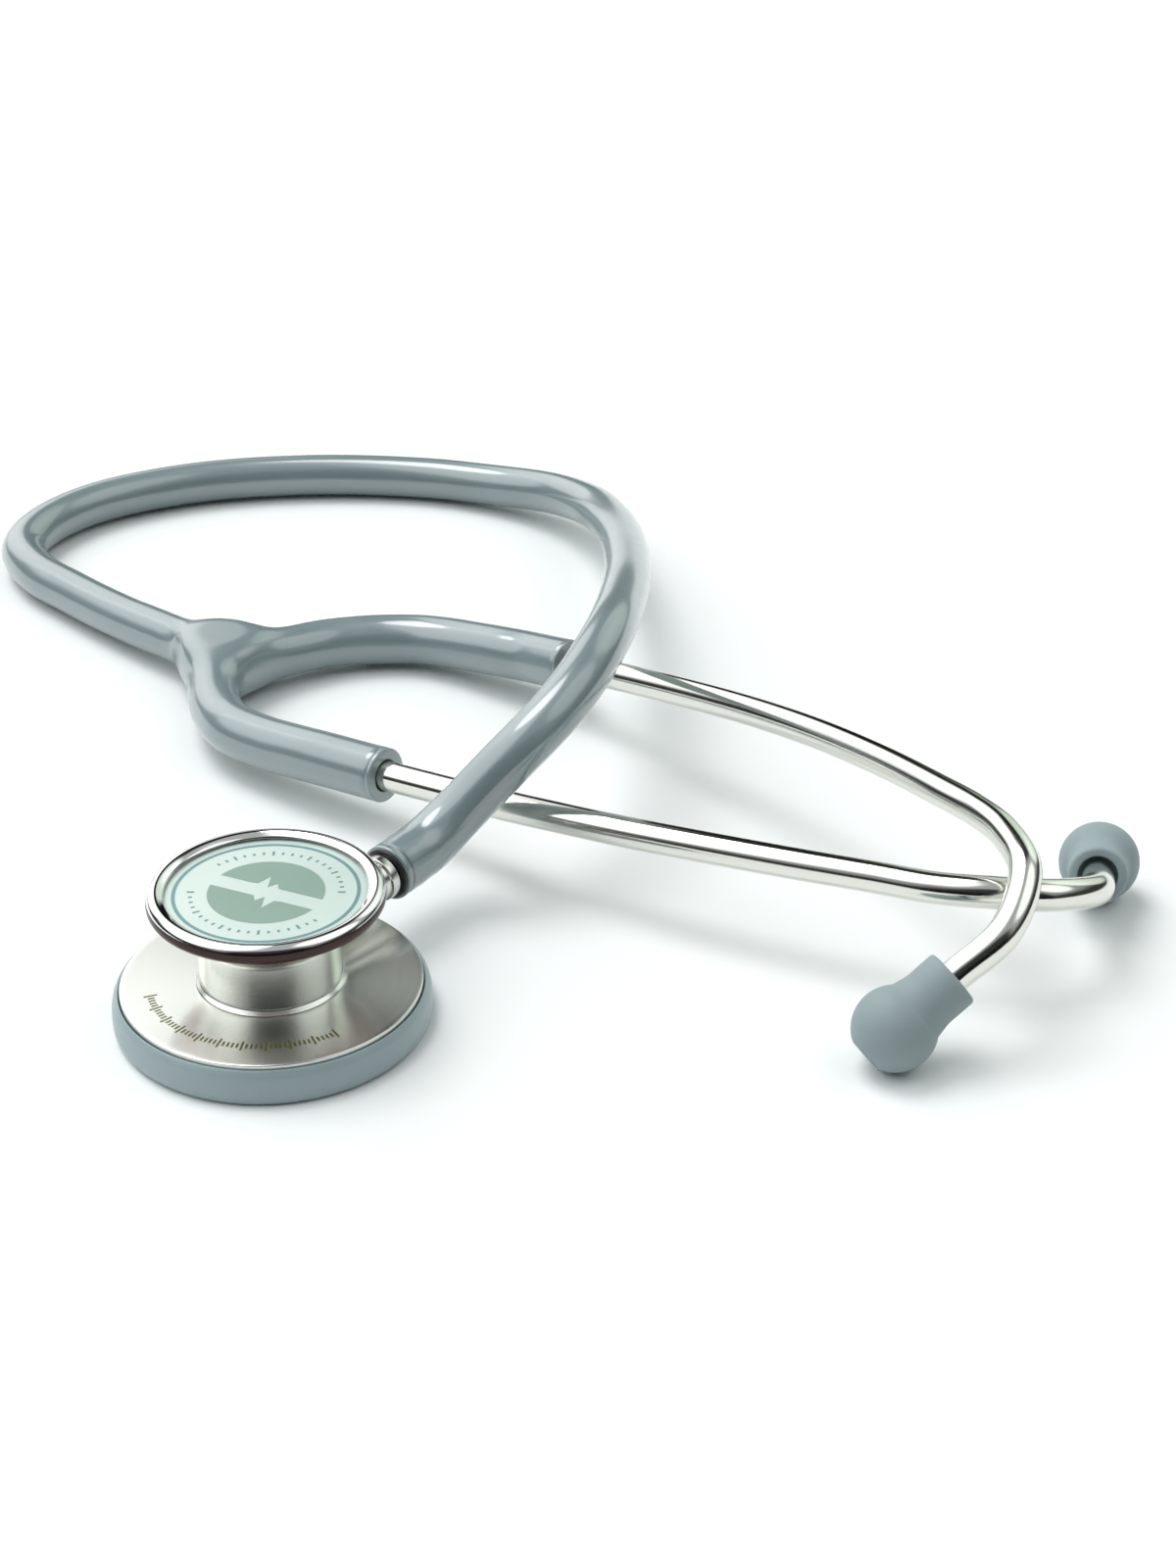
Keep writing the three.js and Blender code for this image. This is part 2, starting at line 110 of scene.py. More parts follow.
class Route:
    def __init__(self, line):
        self.line = np.array([tuple(p) for p in line])
        steps = np.linalg.norm(np.diff(self.line, axis=0), axis=1)
        self.at = np.concatenate([[0], np.cumsum(steps)])
        self.length = float(self.at[-1])
        ahead = np.gradient(self.line, axis=0)
        self.ahead = ahead / np.linalg.norm(ahead, axis=1)[:, None]
        side = Vector(self.ahead[0]).orthogonal().normalized()
        sides = []
        for i, along in enumerate(self.ahead):
            if i:
                turn = Vector(self.ahead[i - 1]).rotation_difference(Vector(along))
                side = turn @ side
            side = (side - Vector(along) * side.dot(Vector(along))).normalized()
            sides.append(tuple(side))
        self.side = np.array(sides)

    def frameAt(self, s):
        inside = min(max(s, 0), self.length)
        centre, ahead, side = [
            Vector([np.interp(inside, self.at, values[:, k]) for k in range(3)])
            for values in (self.line, self.ahead, self.side)
        ]
        ahead.normalize()
        side = (side - ahead * side.dot(ahead)).normalized()
        return centre + ahead * (s - inside), side, ahead.cross(side), ahead

    def between(self, start, end):
        keep = [Vector(p) for p, s in zip(self.line, self.at) if start < s < end]
        return Route([self.frameAt(start)[0]] + keep + [self.frameAt(end)[0]])


def rounded(corners, steps=4):
    # corners are (along, radius, fillet); each fillet becomes a short curve
    outline = []
    for i, (a, b, fillet) in enumerate(corners):
        here = Vector((a, b))
        before = Vector(corners[i - 1][:2]) - here
        after = Vector(corners[(i + 1) % len(corners)][:2]) - here
        reach = min(fillet, before.length * 0.49, after.length * 0.49)
        if reach < 1e-4:
            outline.append((a, b))
            continue
        start, end = here + before.normalized() * reach, here + after.normalized() * reach
        for k in range(steps + 1):
            t = k / steps
            spot = start * (1 - t) ** 2 + here * 2 * t * (1 - t) + end * t**2
            outline.append((spot.x, spot.y))
    return outline


def stretch(start, end, radius, step):
    # rings along a straight stretch of outline, radius is a number or a function of the place
    count = max(1, round(abs(end - start) / step))
    places = [start + (end - start) * i / count for i in range(count + 1)]
    return [(s, radius(s) if callable(radius) else radius) for s in places]


def markEdges(bm, angle=38):
    for face in bm.faces:
        face.smooth = True
    limit = math.radians(angle)
    for edge in bm.edges:
        edge.smooth = len(edge.link_faces) != 2 or edge.calc_face_angle(0) < limit


def meshObject(name, bm, material):
    mesh = bpy.data.meshes.new(name)
    bm.to_mesh(mesh)
    bm.free()
    piece = bpy.data.objects.new(name, mesh)
    bpy.context.scene.collection.objects.link(piece)
    mesh.materials.append(material)
    return piece


def sweptPiece(name, route, outline, sides, material):
    # outline is a closed loop of (along, radius); each point is one ring about the route
    bm = bmesh.new()
    uv = bm.loops.layers.uv.new("grain")
    rings, reach = [], [0.0]
    for i, (s, radius) in enumerate(outline):
        centre, side, other, _ = route.frameAt(s)
        if i:
            reach.append(reach[-1] + math.hypot(s - outline[i - 1][0], radius - outline[i - 1][1]))
        ring = []
        for k in range(sides):
            angle = 2 * math.pi * k / sides
            offset = side * math.cos(angle) + other * math.sin(angle)
            ring.append(bm.verts.new((centre + offset * radius) * mm))
        rings.append(ring)
    closing = math.hypot(outline[-1][0] - outline[0][0], outline[-1][1] - outline[0][1])
    reach.append(reach[-1] + closing)
    for i, ring in enumerate(rings):
        after = rings[(i + 1) % len(rings)]
        if outline[i][1] < 1e-6 and outline[(i + 1) % len(rings)][1] < 1e-6:
            continue
        for k in range(sides):
            n = (k + 1) % sides
            face = bm.faces.new((ring[k], ring[n], after[n], after[k]))
            spots = ((k, i), (k + 1, i), (k + 1, i + 1), (k, i + 1))
            for loop, (turn, row) in zip(face.loops, spots):
                loop[uv].uv = (turn / sides, reach[row] * 0.01)
    bmesh.ops.remove_doubles(bm, verts=bm.verts, dist=1e-7)
    bmesh.ops.dissolve_degenerate(bm, edges=bm.edges, dist=1e-8)
    bmesh.ops.recalc_face_normals(bm, faces=bm.faces)
    markEdges(bm)
    return meshObject(name, bm, material)


upright = Route([(0, 0, 0), (0, 0, 1)])


def turnedPiece(name, outline, sides, material, place):
    # outline is (height, radius) about the piece's own Z, place is its matrix in the row frame
    piece = sweptPiece(name, upright, outline, sides, material)
    piece.data.transform(place)
    return piece


def axisPlace(point, direction):
    # a piece whose own Z runs along direction from point, both from the chest
    turn = Vector((0, 0, 1)).rotation_difference(Vector(direction))
    return Matrix.Translation(fromChest(point)) @ turn.to_matrix().to_4x4()


def cutAway(piece, cutter):
    modifier = piece.modifiers.new("cut", "BOOLEAN")
    modifier.object, modifier.operation, modifier.solver = cutter, "DIFFERENCE", "EXACT"
    bpy.context.view_layer.update()
    graph = bpy.context.evaluated_depsgraph_get()
    mesh = bpy.data.meshes.new_from_object(piece.evaluated_get(graph))
    piece.modifiers.clear()
    piece.data = mesh
    bpy.data.objects.remove(cutter)
    bm = bmesh.new()
    bm.from_mesh(mesh)
    markEdges(bm)
    bm.to_mesh(mesh)
    bm.free()


class Surface:
    # a material and short ways to add nodes to it
    def __init__(self, name, color, roughness, metallic=0.0):
        self.material = bpy.data.materials.new(name)
        self.material.use_nodes = True
        self.tree = self.material.node_tree
        self.shader = self.tree.nodes["Principled BSDF"]
        self.set("Base Color", (*color, 1))
        self.set("Roughness", roughness)
        self.set("Metallic", metallic)
        self.coordinates = self.tree.nodes.new("ShaderNodeTexCoord")

    def set(self, socket, value):
        self.shader.inputs[socket].default_value = value

    def link(self, output, socket):
        self.tree.links.new(output, socket)

    def noise(self, scale, detail=4, source="Object", stretchBy=(1, 1, 1)):
        mapping = self.tree.nodes.new("ShaderNodeMapping")
        mapping.inputs["Scale"].default_value = stretchBy
        self.link(self.coordinates.outputs[source], mapping.inputs["Vector"])
        node = self.tree.nodes.new("ShaderNodeTexNoise")
        node.inputs["Scale"].default_value = scale
        node.inputs["Detail"].default_value = detail
        self.link(mapping.outputs["Vector"], node.inputs["Vector"])
        return node.outputs["Fac"]

    def ramp(self, value, stops, target):
        node = self.tree.nodes.new("ShaderNodeValToRGB")
        elements = node.color_ramp.elements
        for element, (place, color) in zip(elements, stops[:2]):
            element.position, element.color = place, color
        for place, color in stops[2:]:
            elements.new(place).color = color
        self.link(value, node.inputs["Fac"])
        self.link(node.outputs["Color"], self.shader.inputs[target])

    def roughFrom(self, value, low, high):
        node = self.tree.nodes.new("ShaderNodeMapRange")
        node.inputs["To Min"].default_value = low
        node.inputs["To Max"].default_value = high
        self.link(value, node.inputs["Value"])
        self.link(node.outputs["Result"], self.shader.inputs["Roughness"])

    def bump(self, value, depth, strength=1.0):
        node = self.tree.nodes.new("ShaderNodeBump")
        node.inputs["Distance"].default_value = depth
        node.inputs["Strength"].default_value = strength
        self.link(value, node.inputs["Height"])
        self.link(node.outputs["Normal"], self.shader.inputs["Normal"])

    def tones(self, value, color, spread):
        dark = tuple(c * (1 - spread) for c in color)
        light = tuple(min(1, c * (1 + spread)) for c in color)
        self.ramp(value, [(0.3, (*dark, 1)), (0.7, (*light, 1))], "Base Color")


def softPlastic(name, color, roughness, coat, grain, coatRoughness=0.08, coatIor=1.5):
    surface = Surface(name, color, roughness)
    surface.set("Coat Weight", coat)
    surface.set("Coat Roughness", coatRoughness)
    surface.set("Coat IOR", coatIor)
    surface.set("IOR", 1.5)
    surface.set("Subsurface Weight", 0.06)
    surface.set("Subsurface Radius", (0.004, 0.004, 0.004))
    surface.set("Subsurface Scale", 0.5)
    cloudy = surface.noise(60, 5)
    surface.tones(cloudy, color, 0.05)
    fine = surface.noise(1800, 3)
    surface.roughFrom(surface.noise(240, 4), roughness * 0.8, roughness * 1.25)
    surface.bump(fine, grain)
    return surface


def metal(name, color, roughness, grainAcross, grainAlong, depth, anisotropic=0.0):
    surface = Surface(name, color, roughness, metallic=1.0)
    surface.set("Anisotropic", anisotropic)
    surface.set("Anisotropic Rotation", 0.25)
    if anisotropic:
        tangent = surface.tree.nodes.new("ShaderNodeTangent")
        tangent.direction_type = "UV_MAP"
        tangent.uv_map = "grain"
        surface.link(tangent.outputs["Tangent"], surface.shader.inputs["Tangent"])
    grain = surface.noise(1.0, 6, "UV", (grainAcross, grainAlong, 1))
    surface.tones(grain, color, 0.03)
    surface.roughFrom(grain, roughness * 0.8, roughness * 1.2)
    surface.bump(grain, depth)
    return surface


finishes = {
    "vinyl": softPlastic("greyVinyl", (0.21, 0.27, 0.285), 0.35, 1.0, 0.00001, 0.12, 1.85),
    "rim": softPlastic("rimVinyl", (0.31, 0.395, 0.415), 0.42, 0.3, 0.000012, 0.3, 1.7),
    "silicone": softPlastic("greySilicone", (0.27, 0.335, 0.35), 0.6, 0.0, 0.00003),
    "liner": softPlastic("blackLiner", (0.012, 0.012, 0.014), 0.4, 0.1, 0.00002),
    "plate": metal("brushedPlate", (0.78, 0.79, 0.75), 0.24, 2, 2600, 0.0000015, 0.85),
    "drum": metal("brushedDrum", (0.68, 0.69, 0.65), 0.2, 3, 2600, 0.000003, 0.5),
    # painted dark reflection and shade on the underside of the polished ring, standing in for the dark
    # surroundings it would mirror
    "lip": metal("paintedShadeLip", (0.055, 0.036, 0.034), 0.25, 3, 1500, 0.000003),
    # painted warm reflection and shade on the drum's flared underside below the cup
    "flare": metal("paintedShadeFlare", (0.3, 0.23, 0.21), 0.28, 3, 1500, 0.000003),
    "polished": metal("polishedRing", (0.86, 0.85, 0.84), 0.07, 6, 1500, 0.000001),
    "tube": metal("drawnTube", (0.74, 0.74, 0.69), 0.13, 90, 2, 0.0000015),
    "spring": metal("rolledSpring", (0.5, 0.51, 0.53), 0.35, 8, 400, 0.000003),
    "brass": metal("turnedBrass", (0.72, 0.5, 0.22), 0.25, 4, 1500, 0.000003),
    "face": softPlastic("dialFace", (0.6, 0.71, 0.66), 0.4, 0.5, 0.000004),
    "teal": softPlastic("tealPrint", (0.16, 0.3, 0.31), 0.4, 0.5, 0.000004),
    "sage": softPlastic("sagePrint", (0.25, 0.37, 0.31), 0.4, 0.5, 0.000004),
    "gold": softPlastic("goldPrint", (0.13, 0.12, 0.02), 0.4, 0.1, 0.000004),
    "disc": softPlastic("frostedDisc", (0.72, 0.77, 0.75), 0.45, 0.15, 0.000012, 0.3),
}
materials = {name: surface.material for name, surface in finishes.items()}
print("materials made")

# Hose, and the stem it is pushed over
hoseSettings = {
    "radius": 4.2,
    "flareRadius": 4.5,  # where it is stretched over the stem's barbs
    "flareEnd": 7.0,
    "settleLength": 12.0,  # how soon it is back to its own radius
    "ridgeHeight": 0.06,  # the barbs showing through
    "ridgePitch": 2.5,
    "mouthRadius": 3.3,
    "mouthDepth": 3.5,
    "sides": 48,
    "route": [
        (18.4, 25.6, 11.5), (21.4, 29.4, 12.0), (24.9, 32.6, 14.3), (28.5, 34.8, 17.3),
        (31.7, 36.5, 20.2), (34.8, 38.2, 22.9), (37.9, 40.4, 25.3), (40.9, 43.4, 27.3),
        (43.3, 46.8, 28.8), (45.6, 50.9, 30.1), (47.6, 56.0, 31.0), (49.3, 62.2, 31.2),
        (50.8, 70.0, 30.5), (52.1, 80.6, 28.6), (53.2, 92.7, 26.2), (53.9, 106.2, 23.2),
        (53.9, 121.6, 19.7), (53.2, 136.6, 16.2), (51.4, 151.4, 12.9), (47.6, 166.6, 9.8),
        (39.6, 179.8, 7.0), (27.6, 188.4, 5.1), (12.0, 194.0, 4.4), (-10.8, 195.5, 4.4),
        (-34.9, 191.3, 4.4), (-53.6, 181.2, 4.4), (-62.6, 169.4, 4.4), (-65.0, 158.0, 4.4),
        (-60.4, 146.9, 4.5), (-51.7, 137.0, 4.7), (-40.6, 125.4, 5.2), (-29.0, 114.6, 5.9),
    ],
}
stemSettings = {
    "heading": 54,  # degrees from +X
    "height": 11.5,
    "radius": 3.15,
    "groove": (13.6, 14.8),  # along the stem
    "collarReach": 0.45,
    "hoseStart": 26.8,
    "bush": (6.2, 11.75),
    "bushRadius": 4.9,
    "linerRadius": 4.15,
}
heading = math.radians(stemSettings["heading"])
stemDirection = Vector((math.cos(heading), math.sin(heading), 0))
stemBase = Vector((0, 0, stemSettings["height"]))


def inRow(points):
    return [(fromChest(p) / mm) for p in points]


def makeHose():
    start = stemBase + stemDirection * stemSettings["hoseStart"]
    route = Route(smoothLine(inRow([start] + hoseSettings["route"])))
    radius, flare, flareEnd = (hoseSettings[k] for k in ("radius", "flareRadius", "flareEnd"))
    bore, depth = hoseSettings["mouthRadius"], hoseSettings["mouthDepth"]

    def girth(s):
        t = min(max((s - flareEnd) / hoseSettings["settleLength"], 0), 1)
        wave = math.cos(2 * math.pi * s / hoseSettings["ridgePitch"])
        ridge = hoseSettings["ridgeHeight"] * wave if s < flareEnd else 0
        return flare + ridge + (radius - flare) * t * t * (3 - 2 * t)

    mouth = rounded([
        (depth, 0, 0), (depth, bore, 0.1), (0, bore + 0.2, 0.35),
        (0, girth(0), 0.55), (1.2, girth(1.2), 0.3),
    ])
    body = stretch(1.6, route.length, girth, 1.6)
    outline = mouth + body + [(route.length, 0)]
    hose = sweptPiece("hose_skin", route, outline, hoseSettings["sides"], materials["vinyl"])
    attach(hose, "sound_line")
    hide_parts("hose")
    path = [tuple(route.frameAt(s)[0] * mm) for s in np.linspace(0, route.length, 120)]
    print("hose made,", round(route.length), "mm long")
    return route


hoseRoute = makeHose()

# Yoke and arms: one soft moulding whose three branches melt together
yokeSettings = {
    "hub": (-19.4, 106.6, 6.2),
    "armRadius": 4.6,
    "overHose": 15.0,  # how far the moulding reaches back over the hose
    "blendReach": 9.0,  # how widely the three branches melt together
    "hubSize": (5.2, 4.6),  # half width and half height of the middle
    "webReach": 5.5,  # the wider web between the hose and the right arm
    "halfThickness": 5.3,  # the flat of the hub, above and below its middle
    "hubBlend": 6.0,  # how widely the middle melts into the branches
    "flatBlend": 1.5,  # how softly the flat begins
    "voxel": 0.55,
    "cutLength": 27.0,  # where the arms are cut from the hub
    "spareLength": 4.0,  # what each branch runs past its cut
    "cutReach": 12.0,  # how far round its middle a cut works
    "left": [
        (-19.4, 106.6, 6.2), (-19.9, 99.2, 6.2), (-19.5, 92.1, 6.2), (-17.9, 85.0, 6.4),
        (-14.3, 77.7, 6.8), (-8.7, 72.3, 7.2), (-2.9, 67.8, 7.9),
    ],
    "right": [
        (-19.4, 106.6, 6.2), (-14.2, 107.0, 5.9), (-8.7, 110.0, 5.5), (-1.9, 114.0, 5.1),
        (5.2, 115.9, 5.0), (10.6, 116.4, 5.0), (16.0, 115.8, 5.2), (20.9, 113.7, 5.7),
        (26.2, 110.4, 6.4), (31.6, 106.5, 7.3),
    ],
}
tubeSettings = {
    "radius": 2.5,
    "boreRadius": 1.8,
    "insertDepth": 12,
    # the tube's own line: x leaves the rubber, +y is towards the other tube
    "route": [
        (-12, 0, 0), (0, 0, 0), (17.6, -0.3, 0), (32.6, -0.9, 0), (47.5, -2.0, -0.1), (62.4, -3.8, -0.4),
        (77.2, -6.3, -1.1), (89.9, -9.0, -2.0), (98.7, -11.0, -2.8), (106.7, -14.2, -3.6),
        (113.6, -19.3, -5.7), (116.0, -28.2, -10.4), (112.2, -36.4, -14.6), (110.0, -40.9, -17.0),
    ],
    "tipDirection": (-0.4, -0.81, -0.43),
    "left": {
        "position": (11.7, 57.1, 9.6), "yaw": -35.3, "pitch": 4.5, "twist": 9.5,
        "side": -1, "sleeveEnd": 2.2,
    },
    "right": {
        "position": (44.0, 95.7, 9.9), "yaw": -45.1, "pitch": 10.6, "twist": 5.4,
        "side": 1, "sleeveEnd": -0.6,
    },
}


def sideMatrix(name):
    placing = tubeSettings[name]
    turns = [("yaw", 1, "Z"), ("pitch", -1, "Y"), ("twist", 1, "X")]
    matrix = Matrix.Translation(placing["position"])
    for key, sign, axis in turns:
        matrix = matrix @ Matrix.Rotation(math.radians(sign * placing[key]), 4, axis)
    return matrix


def ownPoint(name, point):
    # from a tube's own line to millimetres about the chest
    x, y, z = point
    return sideMatrix(name) @ Vector((x, y * tubeSettings[name]["side"], z))


def armRoute(name):
    depth, end = tubeSettings["insertDepth"], tubeSettings[name]["sleeveEnd"]
    socket = [ownPoint(name, (x, 0, 0)) for x in (-depth + 1, -depth / 2, 0, end)]
    return Route(smoothLine(inRow(yokeSettings[name] + socket)))


arms = {name: armRoute(name) for name in ("left", "right")}


def distanceTo(route, radius, points):
    # how far points are outside a tube of that radius about the route
    starts, ends = route.line[:-1], route.line[1:]
    run = ends - starts
    best = np.full(len(points), 1e9)
    for a, d in zip(starts, run):
        t = np.clip(((points - a) @ d) / (d @ d), 0, 1)
        best = np.minimum(best, np.linalg.norm(points - a - t[:, None] * d, axis=1))
    return best - radius


def softMin(a, b, reach):
    h = np.clip(0.5 + 0.5 * (b - a) / reach, 0, 1)
    return b + (a - b) * h - reach * h * (1 - h)


def makeYoke():
    hub = fromChest(yokeSettings["hub"]) / mm
    radius, cut = yokeSettings["armRadius"], yokeSettings["cutLength"]
    spare, reach = yokeSettings["spareLength"], yokeSettings["cutReach"]
    inletEnd = hoseRoute.frameAt(hoseRoute.length)[0]
    back = yokeSettings["overHose"]
    overHose = [hoseRoute.frameAt(hoseRoute.length - back * part)[0] for part in (1, 0.75, 0.5, 0.25)]
    inlet = Route(smoothLine(overHose + [inletEnd, inletEnd.lerp(hub, 0.5), hub]))
    branches = [
        (inlet, hoseSettings["radius"] + 0.05),
        (Route(arms["left"].between(0, cut + spare).line[::3]), radius),
        (Route(arms["right"].between(0, cut + spare).line[::3]), radius),
    ]

    def outside(points):
        tubes = [distanceTo(route, r, points) for route, r in branches]
        web = softMin(tubes[0], tubes[2], yokeSettings["webReach"])
        joined = softMin(web, tubes[1], yokeSettings["blendReach"])
        wide, high = yokeSettings["hubSize"]
        fromHub = (points - np.array(hub)) * (1, 1, wide / high)
        joined = softMin(joined, np.linalg.norm(fromHub, axis=1) - wide, yokeSettings["hubBlend"])
        slab = np.abs(points[:, 2] - hub.z) - yokeSettings["halfThickness"]
        return -softMin(-joined, -slab, yokeSettings["flatBlend"])

    bm = bmesh.new()
    for route, r in branches:
        outline = [(0, 0)] + stretch(0, route.length, r, 1.5) + [(route.length, 0)]
        tube = sweptPiece("branch", route, outline, 24, materials["vinyl"])
        bm.from_mesh(tube.data)
        bpy.data.objects.remove(tube)
    ball = bmesh.ops.create_icosphere(bm, subdivisions=3, radius=8.5 * mm)
    bmesh.ops.scale(bm, verts=ball["verts"], vec=(1, 1, 0.6))
    bmesh.ops.translate(bm, verts=ball["verts"], vec=hub * mm)
    yoke = meshObject("yoke_skin", bm, materials["vinyl"])
    remesh = yoke.modifiers.new("skin", "REMESH")
    remesh.mode, remesh.voxel_size = "VOXEL", yokeSettings["voxel"] * mm
    graph = bpy.context.evaluated_depsgraph_get()
    mesh = bpy.data.meshes.new_from_object(yoke.evaluated_get(graph))
    yoke.modifiers.clear()
    yoke.data = mesh

    # the skin is drawn onto the exact melted shape and evened out a little, three times over
    bm = bmesh.new()
    bm.from_mesh(mesh)
    bm.verts.ensure_lookup_table()
    for _ in range(3):
        points = np.array([tuple(v.co) for v in bm.verts]) / mm
        for _ in range(3):
            step = 0.05
            level = outside(points)
            slope = np.stack([
                (outside(points + step * axis) - outside(points - step * axis)) / (2 * step)
                for axis in np.eye(3)
            ], axis=1)
            steep = np.maximum((slope**2).sum(1), 0.2)
            points = points - (level / steep)[:, None] * slope * 0.9
        for vert, point in zip(bm.verts, points):
            vert.co = Vector(point) * mm
        bmesh.ops.smooth_vert(
            bm, verts=bm.verts, factor=0.3, use_axis_x=True, use_axis_y=True, use_axis_z=True,
        )
    ends = [inlet.frameAt(spare)] + [arms[name].frameAt(cut) for name in ("left", "right")]
    for i, (centre, _, _, ahead) in enumerate(ends):
        away = -ahead if i == 0 else ahead
        near = [f for f in bm.faces if (f.calc_center_median() / mm - centre).length < reach]
        edges = list(dict.fromkeys(e for f in near for e in f.edges))
        verts = list(dict.fromkeys(v for f in near for v in f.verts))
        bmesh.ops.bisect_plane(
            bm, geom=near + edges + verts, plane_co=centre * mm, plane_no=away, clear_outer=True,
        )
        offcut = []
        for vert in bm.verts:
            fromCut = vert.co / mm - centre
            if fromCut.length < reach and fromCut.dot(away) > 0.01:
                offcut.append(vert)
        bmesh.ops.delete(bm, geom=offcut, context="VERTS")
    caps = bmesh.ops.holes_fill(bm, edges=[e for e in bm.edges if e.is_boundary], sides=0)["faces"]
    bmesh.ops.recalc_face_normals(bm, faces=bm.faces)
    markEdges(bm, 50)
    for cap in caps:
        cap.smooth = False
        for edge in cap.edges:
            edge.smooth = False
    bm.to_mesh(mesh)
    bm.free()
    mesh.materials.clear()
    mesh.materials.append(materials["vinyl"])
    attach(yoke, "sound_line")
    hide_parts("yoke")


def makeArm(name):
    route = arms[name]
    radius, cut = yokeSettings["armRadius"], yokeSettings["cutLength"]
    flex = fromChest(yokeSettings[name][-1]) / mm
    flexAt = float(route.at[np.argmin(np.linalg.norm(route.line - np.array(flex), axis=1))])
    end, bore = route.length, tubeSettings["radius"] + 0.06
    mouth = rounded([
        (end - 0.8, radius, 0.2), (end, radius, 0.45), (end, bore + 0.15, 0.25),
        (end - 4, bore, 0.2), (end - 4, 0, 0),
    ])
    outline = [(cut, 0)] + stretch(cut, end - 1.2, radius, 0.9) + mouth
    arm = sweptPiece("arm_skin_" + name, route, outline, 56, materials["vinyl"])
    tuple(route.frameAt(flexAt - 8)[0] * mm)
    tuple(route.frameAt(flexAt + 7)[0] * mm)
    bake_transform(arm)
    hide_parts("tube_socket_" + name)


makeYoke()
print("yoke made")
for name in ("left", "right"):
    makeArm(name)
print("arms made")

# Steel ear tubes and soft eartips
tipSettings = {
    "bulbRadius": 6.35,
    "bulbCentre": 5.8,
    "collarStart": -5.5,
    "collarRadius": 4.55,
    "waistRadius": 4.5,
    "mouthRadius": 3.0,
    "holeRadius": 1.45,
    "holeDepth": 3.2,
    "bulbFrom": 128,  # degrees from the bulb's front, where the collar joins it
    "bulbTo": 27,  # and where the rounding of the hole begins
}


def makeEarTube(name):
    route = Route(smoothLine(inRow([ownPoint(name, p) for p in tubeSettings["route"]])))
    radius, bore, length = tubeSettings["radius"], tubeSettings["boreRadius"], route.length
    outline = rounded([(0, bore, 0.1), (0, radius, 0.3), (1, radius, 0)])
    outline += stretch(2, length - 1, radius, 1.2)
    outline += rounded([(length, radius, 0.3), (length, bore, 0.1)]) + stretch(length - 1, 1, bore, 2.4)
    tube = sweptPiece("tube_skin_" + name, route, outline, 40, materials["tube"])
    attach(tube, name + "_side")
    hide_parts("binaural_tube_" + name)


def makeEartip(name):
    s = tipSettings
    start, centre, bulb = s["collarStart"], s["bulbCentre"], s["bulbRadius"]
    face = centre + bulb * math.cos(math.radians(24))
    first, last, steps = s["bulbFrom"], s["bulbTo"], 24
    bulbArc = []
    for i in range(steps + 1):
        angle = math.radians(first - i * (first - last) / steps)
        bulbArc.append((centre + bulb * math.cos(angle), bulb * math.sin(angle)))
    joinX, joinR = bulbArc[0]
    collar = rounded([
        (start + 2.2, s["mouthRadius"], 0.3), (start, s["mouthRadius"] + 0.1, 0.4),
        (start, s["collarRadius"], 0.7), (start + 3.3, s["collarRadius"], 2.0),
        (start + 4.9, s["waistRadius"], 2.0), (joinX, joinR, 0),
    ], 6)[:-1]
    lip = rounded([
        (face, bulb * math.sin(math.radians(last)), 0.6), (face, s["holeRadius"], 0.55),
        (face - s["holeDepth"], s["holeRadius"] - 0.1, 0.2), (face - s["holeDepth"], 0, 0),
    ], 6)
    throat = [(start + 2.2, 0)]
    end = ownPoint(name, tubeSettings["route"][-1])
    x, y, z = tubeSettings["tipDirection"]
    direction = sideMatrix(name).to_3x3() @ Vector((x, y * tubeSettings[name]["side"], z))
    outline = throat + collar + bulbArc + lip
    tip = turnedPiece("tip_skin_" + name, outline, 72, materials["silicone"], axisPlace(end, direction))
    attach(tip, name + "_tip")
    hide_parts("eartip_" + name)


for name in ("left", "right"):
    makeEarTube(name)
    makeEartip(name)
print("ear tubes and eartips made")

# Chestpiece: wide plate, drum and small head
plateSettings = {
    "radius": 22.45, "bottom": 2.0, "edgeTop": 6.4, "hubTop": 7.0,
    "topRadius": 21.3,  # where the flat top begins inside the edge
    "recessRadius": 19.6,
    "holeRadius": 1.6,
}
drumSettings = {
    "radius": 10.5, "footTop": 7.6, "top": 15.3,
    "footReach": 1.1,  # how far the plate's rise ends outside the drum
    "footStep": 0.75,
    "boreRadius": 4.95,
    "bore": (4.6, 18.0),  # along the stem
}
cupSettings = {
    "radius": 16.6, "underside": 19.5, "rimTop": 20.3, "floorRadius": 14.2, "floorTop": 19.3,
    "flareRadius": 11.9,  # the painted shade and dark reflection on the drum's flare begins here
    "lipTop": 21.7,  # and on the polished ring the painted shade ends here
}
rimSettings = {"radius": 23.75, "lipRadius": 21.2, "lipTop": 0.8, "top": 5.88, "seatRadius": 22.5}
bezelSettings = {
    "radius": 17.5, "bottom": 20.0, "top": 22.6, "windowRadius": 14.8, "innerRadius": 16.9, "ledge": 21.8,
}
discSettings = {"wideRadius": 22.3, "wide": (1.1, 1.5), "dialRadius": 16.4, "dial": (21.1, 21.42)}
upFromFoot = Matrix.Translation(chestFoot)


def chestPiece(name, outline, material, node, body="chestpiece", sides=160):
    piece = turnedPiece(name, outline, sides, materials[material], upFromFoot)
    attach(piece, body)
    if node:
        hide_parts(node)
    return piece


def stemPiece(name, outline, material, node, body, sides=72):
    piece = turnedPiece(name, outline, sides, materials[material], axisPlace(stemBase, stemDirection))
    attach(piece, body)
    if node:
        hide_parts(node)
    return piece


def paintShadeBelow(piece, finish, radius, top):
    # painted shade and reflection: a darker material on the outward faces beyond a radius and below a height
    piece.data.materials.append(materials[finish])
    for face in piece.data.polygons:
        spot = (face.center - chestFoot) / mm
        outward = face.normal.x * spot.x + face.normal.y * spot.y
        if spot.z < top and math.hypot(spot.x, spot.y) > radius and outward > 0:
            face.material_index = 1


